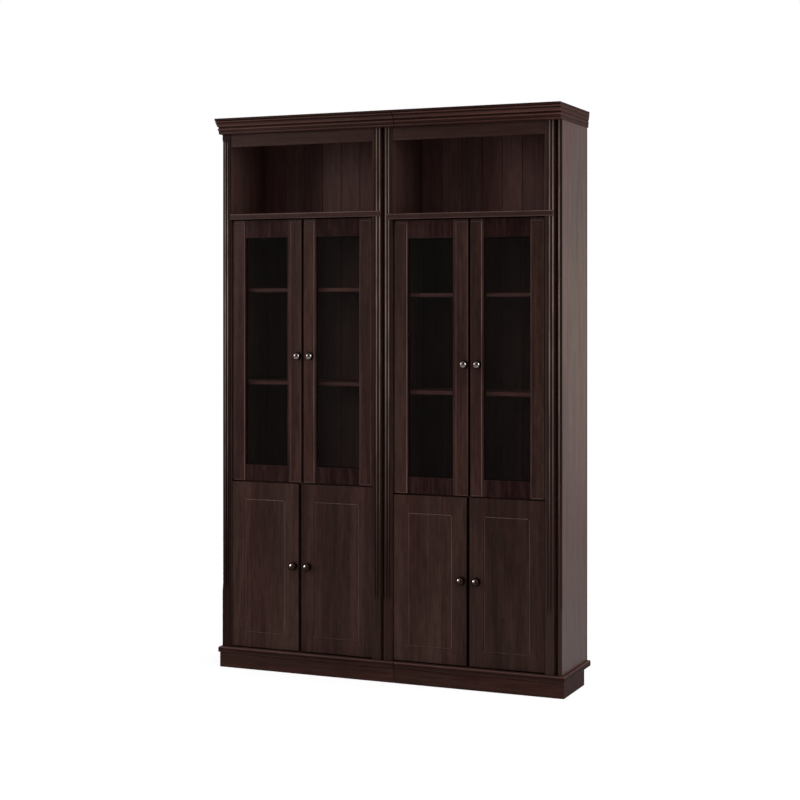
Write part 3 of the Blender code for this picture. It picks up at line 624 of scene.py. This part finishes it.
def carcass_finish(node_name, number):
    """Material of a wooden carcass node, by what the piece is."""
    low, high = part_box(node_name)
    if node_name.endswith("_top"):
        return stained_wood(node_name, SIDE_TONES, "X", number, 0.46, 0.75)
    if node_name in POST_SHADE:
        front_tones = tinted(FRONT_TONES, POST_SHADE[node_name])
        reeds = reed_layout(node_name)
    if "side_panel" in node_name:
        left = node_name.startswith("left")
        lined = (low.x if left else high.x, front_tones, LINING_TONES, SIDE_FADE)
        return stained_wood(node_name, SIDE_TONES, "Z", number, 0.40, 0.75, knots=0.7, thin_stain_and_glint_amount=1.2,
                            shine=0.10 if left else 0.25, reeds=reeds, lined=lined)
    if "centre_upright" in node_name:
        left = node_name.endswith("left")
        lined = (high.x if left else low.x, front_tones, tinted(LINING_TONES, 0.8), CENTRE_FADE)
        return stained_wood(node_name, FRONT_TONES, "Z", number, 0.34, 0.8, thin_stain_and_glint_amount=1.2, shine=0.14,
                            reeds=reeds, lined=lined)
    if "shelf" in node_name:
        # Shelves: the front tones made 3.2 times lighter as painted light inside the bays, with banded
        # painted shade.
        return stained_wood(node_name, tinted(FRONT_TONES, 3.2), "X", number, 0.50, 0.8, thin_stain_and_glint_amount=0.0,
                            members=(low.z, high.z, SHELF_BANDS, high.y))
    if "plinth" in node_name or "base_board" in node_name:
        bands = PLINTH_BANDS if "plinth" in node_name else BASE_BANDS
        return stained_wood(node_name, FRONT_TONES, "X", number, 0.46, 0.9, shine=0.05, thin_stain_and_glint_amount=0.6,
                            members=(low.z, high.z, bands, high.y))
    if "cornice" in node_name:
        return stained_wood(node_name, tinted(FRONT_TONES, 1.12), "X", number, 0.40, 0.7, thin_stain_and_glint_amount=0.0, shine=0.12,
                            members=(low.z, high.z, CORNICE_BANDS, high.y))
    tones = tinted(FRONT_TONES, FRIEZE_SHADE.get(node_name, 1.0))
    return stained_wood(node_name, tones, "X", number, 0.42, 0.9)


def dress_nodes():
    """Give every frame node that stays in view its material and soft edges."""
    for number, (node_name, node) in enumerate(sorted(nodes.items())):
        if node_name.endswith("_glass"):
            finish, width = glass_material, 0.0002
        elif "_hinge_" in node_name:
            finish, width = steel, 0.0004
        elif "_door_" in node_name or node_name.endswith("_back"):
            continue
        else:
            finish, width = carcass_finish(node_name, number), 0.0006
        node.data.materials.clear()
        node.data.materials.append(finish)
        soften_node(node, width)


def opening(bay):
    """x of the left and right edges of a bay's opening."""
    if bay == "left_bay":
        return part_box("left_side_panel")[1].x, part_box("centre_upright_left")[0].x
    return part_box("centre_upright_right")[1].x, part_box("right_side_panel")[0].x


def add_back_boards(bay, first_seed):
    """Tongue and groove boards of the back, each with its own grain, and the nails through them."""
    node = bay + "_back"
    low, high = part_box(node)
    edges = [low.x]
    x = opening(bay)[1] - GROOVE_SPAN
    while x < high.x - BOARD_PITCH / 4:
        if x > low.x + BOARD_PITCH / 4:
            edges.append(x)
        x += BOARD_PITCH
    edges.append(high.x)
    nails = []
    niche_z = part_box(bay + "_niche_floor")[1].z
    below, above = BACK_SHADES[bay]
    shades = ((0.0, below, 1.0), (1.0, above, 1.0))
    tongue_y = (low.y + high.y) / 2
    for number, (x0, x1) in enumerate(zip(edges, edges[1:])):
        left, right = x0 + PLAY, x1 - PLAY
        vee = low.y + GROOVE_DEPTH
        outline = [(left + GROOVE_HALF_WIDTH, low.y), (right - GROOVE_HALF_WIDTH, low.y), (right, vee)]
        if number < len(edges) - 2:
            outline += [(right, tongue_y - TONGUE_HALF), (right + TONGUE, tongue_y - TONGUE_HALF),
                        (right + TONGUE, tongue_y + TONGUE_HALF), (right, tongue_y + TONGUE_HALF)]
        outline += [(right, high.y), (left, high.y)]
        if number:
            slot_half = TONGUE_HALF + PLAY
            outline += [(left, tongue_y + slot_half), (left + TONGUE, tongue_y + slot_half),
                        (left + TONGUE, tongue_y - slot_half), (left, tongue_y - slot_half)]
        outline.append((left, vee))
        seed = first_seed + number
        name = f"{bay}_back_board_{number}"
        tones = tinted(INNER_TONES, 1.0 + 0.16 * math.sin(2.4 * seed))
        wood = stained_wood(name, tones, "Z", seed, 0.55, 0.8, knots=0.5, thin_stain_and_glint_amount=0.2,
                            members=(niche_z - 0.02, niche_z, shades, high.y - 0.001))
        bm = loft([[(px, py, z) for px, py in outline] for z in (low.z, high.z)])
        round_edges(new_piece(name, bm, wood, "carcass", [node]), 0.0004)
        middle = (left + right) / 2
        for z in NAIL_HEIGHTS:
            for side in (-1, 1):
                nail_x = middle + side * (right - left) * NAIL_SPREAD
                place = (nail_x, high.y - 0.0004, low.z + z * (high.z - low.z))
                nails.append(turned(NAIL_PROFILE, place, (0, 1, 0), 10))
    new_piece(bay + "_back_nails", merged(nails), steel, "carcass")


def add_shelf_pins(bay):
    """Four pegs under each adjustable shelf."""
    left, right = opening(bay)
    for number in (1, 2):
        low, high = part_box(f"{bay}_shelf_{number}")
        pegs = []
        for x, way in ((left, 1), (right, -1)):
            for y in (low.y + PIN_FROM_FRONT, high.y - PIN_FROM_BACK):
                pegs.append(turned(PIN_PROFILE, (x, y, low.z - PIN_DROP), (way, 0, 0), 20))
        name = f"{bay}_shelf_{number}_pins"
        wood = stained_wood(name, tinted(INNER_TONES, 0.6), "X", number, 0.5)
        new_piece(name, merged(pegs), wood, "carcass")


# ---------------------------------------------------------------- doors

def raised_board(area, y_back, y_base, y_front, margins):
    """Board with a raised chamfered face; margins are the low border at left, right, bottom and top."""
    rise = y_base - y_front
    foot = inset(area, *margins)
    rings = [ring(inset(area, EASED), y_back), ring(area, y_back - EASED), ring(area, y_base + EASED),
             ring(inset(area, EASED * 0.3), y_base + EASED * 0.3), ring(inset(area, EASED * 0.9), y_base),
             ring(foot, y_base), ring(inset(foot, 0.0002), y_base - rise * 0.35),
             ring(inset(foot, rise * 0.50), y_base - rise * 0.85),
             ring(inset(foot, rise * 0.72), y_front)]
    return loft(rings)


def bore(piece, cutter_mesh):
    """Cut a closed bmesh out of a piece for good."""
    cutter = new_object("cutter", cutter_mesh)
    mesh = cutter.data
    cut = piece.modifiers.new("bore", "BOOLEAN")
    cut.object = cutter
    cut.operation = "DIFFERENCE"
    bpy.context.view_layer.update()
    evaluated = piece.evaluated_get(bpy.context.evaluated_depsgraph_get())
    piece.data = bpy.data.meshes.new_from_object(evaluated)
    piece.modifiers.remove(cut)
    bpy.data.objects.remove(cutter)
    bpy.data.meshes.remove(mesh)


def cup_places(prefix):
    """Centres of the cup bores in a door's back: x of the cups, then z of each."""
    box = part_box(prefix + "_frame") if "glazed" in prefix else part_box(prefix + "_panel")
    hand = -1 if prefix.endswith("left") else 1
    edge = box[0].x if hand < 0 else box[1].x
    heights = []
    for end in ("bottom", "top"):
        low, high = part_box(f"{prefix}_hinge_{end}")
        heights.append((low.z + high.z) / 2)
    return edge - hand * CUP_EDGE_DISTANCE, heights, box[1].y


def cup_cutter(prefix):
    """The hollows for both hinge cups of a door."""
    x, heights, back_y = cup_places(prefix)
    return merged([turned(((CUP_RADIUS, 0.001), (CUP_RADIUS, -CUP_DEPTH)), (x, back_y, z), (0, 1, 0), 48)
                   for z in heights])


def add_glazed_frame(prefix, hand, seed):
    """Stiles, rails and glazing beads of one glazed door. hand is -1 for a door hung on its left."""
    node = prefix + "_frame"
    low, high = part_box(node)
    pane_low, pane_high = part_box(prefix + "_glass")
    base_y = low.y + STILE_RELIEF
    gx0, gx1 = pane_low.x - PLAY, pane_high.x + PLAY
    gz0, gz1 = pane_low.z - PLAY, pane_high.z + PLAY
    spans = {-1: (low.x, gx0), 1: (gx1, high.x)}
    for number, (role, side) in enumerate((("hinge", hand), ("meeting", -hand))):
        if role == "hinge":
            outer, inner = STILE_BORDER, EASED
        else:
            outer, inner = EASED, MEETING_STEP if hand < 0 else MEETING_BORDER
        left, right = (outer, inner) if side < 0 else (inner, outer)
        margins = (left, right, EASED, STILE_TOP_BORDER)
        name = f"{prefix}_{role}_stile"
        area = (*spans[side], low.z, high.z)
        # Arrises along each stile's outer edge, beside the upright or the door gap, get painted shade.
        dark_left, dark_right = (DARK_EDGE, NO_EDGE) if side < 0 else (NO_EDGE, DARK_EDGE)
        field = inset(area, dark_left, dark_right, NO_EDGE, NO_EDGE)
        wood = stained_wood(name, STILE_TONES, "Z", seed + number, 0.40, 1.35, thin_stain_and_glint_gain=3.3, field=field)
        bm = raised_board(area, high.y, base_y, low.y, margins)
        stile = new_piece(name, bm, wood, prefix, [node])
        if role == "hinge":
            bore(stile, cup_cutter(prefix))
        keep_flat(stile)
    for number, (role, z0, z1) in enumerate((("bottom", low.z, gz0), ("top", gz1, high.z))):
        area = (gx0 + 0.0002, gx1 - 0.0002, z0, z1)
        rings = [ring(inset(area, EASED), high.y), ring(area, high.y - EASED), ring(area, base_y + EASED),
                 ring(inset(area, EASED), base_y)]
        name = f"{prefix}_{role}_rail"
        wood = stained_wood(name, RAIL_TONES, "Z", seed + 2 + number, 0.44, 1.6, thin_stain_and_glint_amount=0.3, shine=0.06)
        keep_flat(new_piece(name, loft(rings), wood, prefix, [node]))
    add_glazing_beads(prefix, (gx0, gx1, gz0, gz1), pane_high.y, high.y, seed + 4)


def add_glazing_beads(prefix, window, y_front, y_back, seed):
    """Four mitred quarter-round strips that hold the pane from behind."""
    thick, wide = y_back - y_front, BEAD_WIDTH
    profile = [(0.0, 0.0002), (0.0, thick), (wide * 0.30, thick)]
    for step in range(1, 5):
        angle = math.pi / 2 * step / 4
        profile.append((wide * (0.30 + 0.70 * math.sin(angle)), thick * (0.35 + 0.65 * math.cos(angle))))
    profile.append((wide, 0.0002))
    x0, x1, z0, z1 = inset(window, 0.0002)
    corners = ((x0, z0, 1, 1), (x1, z0, -1, 1), (x1, z1, -1, -1), (x0, z1, 1, -1))
    strips = []
    for first, second in zip(corners, corners[1:] + corners[:1]):
        rings = []
        for x, z, way_x, way_z in (first, second):
            rings.append([(x + way_x * across, y_front + out, z + way_z * across) for across, out in profile])
        strips.append(loft(rings))
    wood = stained_wood(prefix + "_beads", tinted(INNER_TONES, BEAD_SHADE), "Z", seed, 0.60, 0.8,
                        thin_stain_and_glint_amount=0.0, shine=0.05)
    new_piece(prefix + "_beads", merged(strips), wood, prefix)


def add_lower_slab(prefix, seed):
    """Lower door: glued staves with eased edges and a routed rectangle."""
    node = prefix + "_panel"
    low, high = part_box(node)
    area = (low.x, high.x, low.z, high.z)
    rout = inset(area, ROUT_SIDE, ROUT_SIDE, ROUT_SIDE, ROUT_TOP)
    rings = [ring(inset(area, EASED), high.y), ring(area, high.y - EASED)]
    for step in range(5):
        angle = math.pi / 2 * step / 4
        rings.append(ring(inset(area, SLAB_ROUND * (1 - math.cos(angle))),
                          low.y + SLAB_ROUND * (1 - math.sin(angle))))
    rings += [ring(inset(rout, across), low.y + depth, ROUT_CORNER) for across, depth in ROUT_PROFILE]
    name = prefix + "_slab"
    tones = tinted(FRONT_TONES, SLAB_SHADE[prefix.rsplit("_", 1)[1]])
    # Arrises near the slab's edges get painted shade from the gaps; the lighter tone stays on the rout.
    wood = stained_wood(name, tones, "Z", seed, 0.40, 1.15, STAVE, 0.8, thin_stain_and_glint_amount=1.2, thin_stain_and_glint_gain=2.8,
                        field=inset(area, ROUT_SIDE / 2))
    slab = new_piece(name, loft(rings), wood, prefix, [node])
    bore(slab, cup_cutter(prefix))
    keep_flat(slab)


def add_knob(prefix, material):
    """Turned knob with a rose, a waist and a domed head, and its screw in the door's back."""
    node = prefix + "_knob"
    low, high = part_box(node)
    x, z = (low.x + high.x) / 2, (low.z + high.z) / 2
    radius, reach = (high.x - low.x) / 2, high.y - low.y
    foot, depth = 0.0022, radius * 0.70
    profile = [(radius * 0.60, 0.0), (radius * 0.72, 0.0003), (radius * 0.73, 0.0010),
               (radius * 0.66, 0.0017), (radius * 0.50, foot)]
    waist, head_centre = radius * 0.40, reach - depth
    for step in range(1, 5):
        share = step / 4
        along = foot + (head_centre - depth * 0.62 - foot) * share
        profile.append((waist + radius * 0.08 * (1 - math.sin(math.pi * share)), along))
    for step in range(17):
        angle = math.radians(-36 + 122 * step / 16)
        profile.append((radius * math.cos(angle), head_centre + depth * math.sin(angle)))
    # The rose's near-black metal is painted shade: the dark ring round each knob.
    rose = ((radius * 1.10, 0.0), (radius * 1.17, 0.0003), (radius * 1.17, 0.0009), (radius * 1.08, 0.0015),
            (radius * 0.50, 0.0016))
    new_piece(node + "_rose", turned(rose, (x, high.y, z), (0, -1, 0), 48), rose_shade_metal, prefix)
    knob = new_piece(node + "_turned", turned(profile, (x, high.y, z), (0, -1, 0), 48), material, prefix,
                     [node])
    knob.data.set_sharp_from_angle(angle=math.radians(60.0))
    back_y = cup_places(prefix)[2]
    fixing = screw((x, back_y + 0.0002, z), (0, 1, 0), KNOB_SCREW_RADIUS)
    new_piece(node + "_screw", fixing, steel, prefix)


def add_hinge(prefix, hand, end):
    """Cup, flange and screws on the door, and the link plates that join them to the fixed arm."""
    arm_low, arm_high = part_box(f"{prefix}_hinge_{end}")
    x, heights, back_y = cup_places(prefix)
    z = heights[0 if end == "bottom" else 1]
    wall, floor = CUP_RADIUS - 0.0014, -CUP_DEPTH + 0.0012
    bowl = ((0.0010, floor), (wall - 0.002, floor), (wall, floor + 0.002), (wall, 0.0006),
            (wall + 0.0004, 0.0012), (CUP_RADIUS + 0.0014, 0.0012), (CUP_RADIUS + 0.0016, 0.0002),
            (CUP_RADIUS - 0.0003, 0.0002),
            (CUP_RADIUS - 0.0003, -CUP_DEPTH + 0.0004), (0.0010, -CUP_DEPTH + 0.0002))
    cup = turned(bowl, (x, back_y, z), (0, 1, 0), 48)
    wing_x = x + hand * FLANGE_OFFSET
    plates = []
    for side in (-1, 1):
        ends = sorted((z + side * FLANGE_INNER_END, z + side * FLANGE_HALF_LENGTH))
        area = (wing_x - FLANGE_HALF_WIDTH, wing_x + FLANGE_HALF_WIDTH, *ends)
        plates.append(loft([ring(area, back_y + 0.0001, 0.004), ring(area, back_y + 0.0010, 0.004),
                            ring(inset(area, 0.0003), back_y + 0.0013, 0.004)]))
        plates.append(screw((wing_x, back_y + 0.0014, z + side * FLANGE_SCREW_OFFSET), (0, 1, 0), 0.0036))
    new_piece(f"{prefix}_hinge_{end}_cup", merged([cup, *plates]), steel, prefix, smooth=40.0)
    add_hinge_links(prefix, hand, end, Vector((x, back_y - 0.004, z)), arm_low, arm_high)
    fixings = []
    for side in (-1, 1):
        face_x = arm_low.x + 0.0033 if hand < 0 else arm_high.x - 0.0033
        place = (face_x, arm_high.y - 0.027, z + side * PLATE_SCREW_OFFSET)
        fixings.append(screw(place, (-hand, 0, 0), 0.0038))
    arm_face = arm_high.x if hand < 0 else arm_low.x
    for y in (arm_high.y - 0.012, arm_high.y - 0.040):
        fixings.append(screw((arm_face, y, z), (-hand, 0, 0), 0.0030))
    new_piece(f"{prefix}_hinge_{end}_screws", merged(fixings), steel, "carcass")


def add_hinge_links(prefix, hand, end, cup_centre, arm_low, arm_high):
    """Two bent plates from the fixed arm's tip into the cup."""
    inward = -hand
    face = arm_low.x if hand < 0 else arm_high.x
    start = Vector((face + inward * 0.0080, arm_low.y + 0.006, cup_centre.z))
    finish = Vector((cup_centre.x - inward * 0.004, cup_centre.y, cup_centre.z))
    turn = Vector((finish.x, start.y, start.z))
    plates = []
    for lift in (-1, 1):
        rings = []
        z0 = cup_centre.z + lift * LINK_HALF_GAP
        low_z, high_z = z0 - LINK_HALF_HEIGHT, z0 + LINK_HALF_HEIGHT
        for step in range(LINK_STEPS + 1):
            share = step / LINK_STEPS
            middle = start * (1 - share) ** 2 + turn * (2 * share * (1 - share)) + finish * share ** 2
            slope = (turn - start) * (2 * (1 - share)) + (finish - turn) * (2 * share)
            across = Vector((slope.y, -slope.x, 0)).normalized() * LINK_HALF_THICKNESS
            rings.append([(middle.x + across.x * s, middle.y + across.y * s, height)
                          for s, height in ((-1, low_z), (1, low_z), (1, high_z), (-1, high_z))])
        plates.append(loft(rings))
    bm = merged(plates)
    name = f"{prefix}_hinge_{end}_links"
    bmesh.ops.recalc_face_normals(bm, faces=bm.faces)
    links = new_object(name, bm, steel)
    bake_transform(links)


glass_material = pane_glass("pane_glass")
polished = worked_metal("polished_metal", (0.24, 0.20, 0.18), (0.34, 0.29, 0.26), 0.02, 0.02, 0.05,
                        POLISHED_PATCHES)
bronze = worked_metal("dark_bronze", (0.030, 0.016, 0.013), (0.055, 0.030, 0.025), 0.07, 0.03, 0.06,
                      BRONZE_PATCHES)
# Near-black, as painted shade round the knobs.
rose_shade_metal = worked_metal("rose_shade_metal", (0.012, 0.008, 0.007), (0.022, 0.015, 0.013), 0.30)
steel = worked_metal("hinge_steel", (0.50, 0.50, 0.49), (0.66, 0.66, 0.64), 0.24)

dress_nodes()
for bay_number, bay_name in enumerate(BAYS):
    bay_seed = 40 * (bay_number + 2)
    add_back_boards(bay_name, bay_seed)
    add_shelf_pins(bay_name)
    for door_number, (side_name, swing) in enumerate(SIDES):
        door_seed = bay_seed + 10 + 8 * door_number
        glazed = f"{bay_name}_glazed_door_{side_name}"
        lower = f"{bay_name}_lower_door_{side_name}"
        add_glazed_frame(glazed, swing, door_seed)
        add_lower_slab(lower, door_seed + 6)
        add_knob(glazed, polished)
        add_knob(lower, bronze)
        for hinge_end in ("bottom", "top"):
            add_hinge(glazed, swing, hinge_end)
            add_hinge(lower, swing, hinge_end)


# ---------------------------------------------------------------- stage

def add_floor():
    """Large pale disc under the object."""
    bm = bmesh.new()
    bmesh.ops.create_circle(bm, cap_ends=True, radius=6.0, segments=96)
    floor = new_object("floor", bm, matt_floor("floor"))
    floor.location.z = cad_box[0].z - 0.0005


def add_light(name, place, target, width, height, watts):
    """Soft rectangular studio light aimed at a point."""
    data = bpy.data.lights.new(name, "AREA")
    data.shape = "RECTANGLE"
    data.size = width
    data.size_y = height
    data.energy = watts
    light = bpy.data.objects.new(name, data)
    light.location = place
    light.rotation_euler = (Vector(target) - Vector(place)).to_track_quat("-Z", "Y").to_euler()
    bpy.context.scene.collection.objects.link(light)


def add_world():
    """White backdrop for the camera, and a dim sky that is brighter overhead for the light."""
    world = bpy.data.worlds.new("studio")
    bpy.context.scene.world = world
    world.use_nodes = True
    tree = world.node_tree
    tree.nodes.clear()
    output = tree.nodes.new("ShaderNodeOutputWorld")
    mixer = tree.nodes.new("ShaderNodeMixShader")
    path = tree.nodes.new("ShaderNodeLightPath")
    seen = tree.nodes.new("ShaderNodeBackground")
    lit = tree.nodes.new("ShaderNodeBackground")
    where = tree.nodes.new("ShaderNodeTexCoord")
    split = tree.nodes.new("ShaderNodeSeparateXYZ")
    sky = tree.nodes.new("ShaderNodeMapRange")
    seen.inputs["Color"].default_value = (1.0, 1.0, 1.0, 1.0)
    seen.inputs["Strength"].default_value = 1.0
    lit.inputs["Color"].default_value = (1.0, 0.98, 0.97, 1.0)
    for key, value in (("From Min", -0.1), ("From Max", 0.9), ("To Min", 0.24), ("To Max", 0.60)):
        sky.inputs[key].default_value = value
    tree.links.new(where.outputs["Generated"], split.inputs[0])
    tree.links.new(split.outputs["Z"], sky.inputs["Value"])
    tree.links.new(sky.outputs["Result"], lit.inputs["Strength"])
    tree.links.new(path.outputs["Is Camera Ray"], mixer.inputs[0])
    tree.links.new(lit.outputs[0], mixer.inputs[1])
    tree.links.new(seen.outputs[0], mixer.inputs[2])
    tree.links.new(mixer.outputs[0], output.inputs["Surface"])


def add_camera():
    """Level camera to the right of straight on."""
    data = bpy.data.cameras.new("camera")
    data.lens = CAMERA_LENS
    data.shift_y = CAMERA_SHIFT
    camera = bpy.data.objects.new("camera", data)
    camera.location = CAMERA_PLACE
    camera.rotation_euler = (math.radians(90.0), 0.0, math.radians(CAMERA_TURN))
    bpy.context.scene.collection.objects.link(camera)
    bpy.context.scene.camera = camera


add_floor()
for light_settings in LIGHTS:
    add_light(*light_settings)
add_world()
add_camera()
bpy.context.scene.view_settings.view_transform = "Standard"
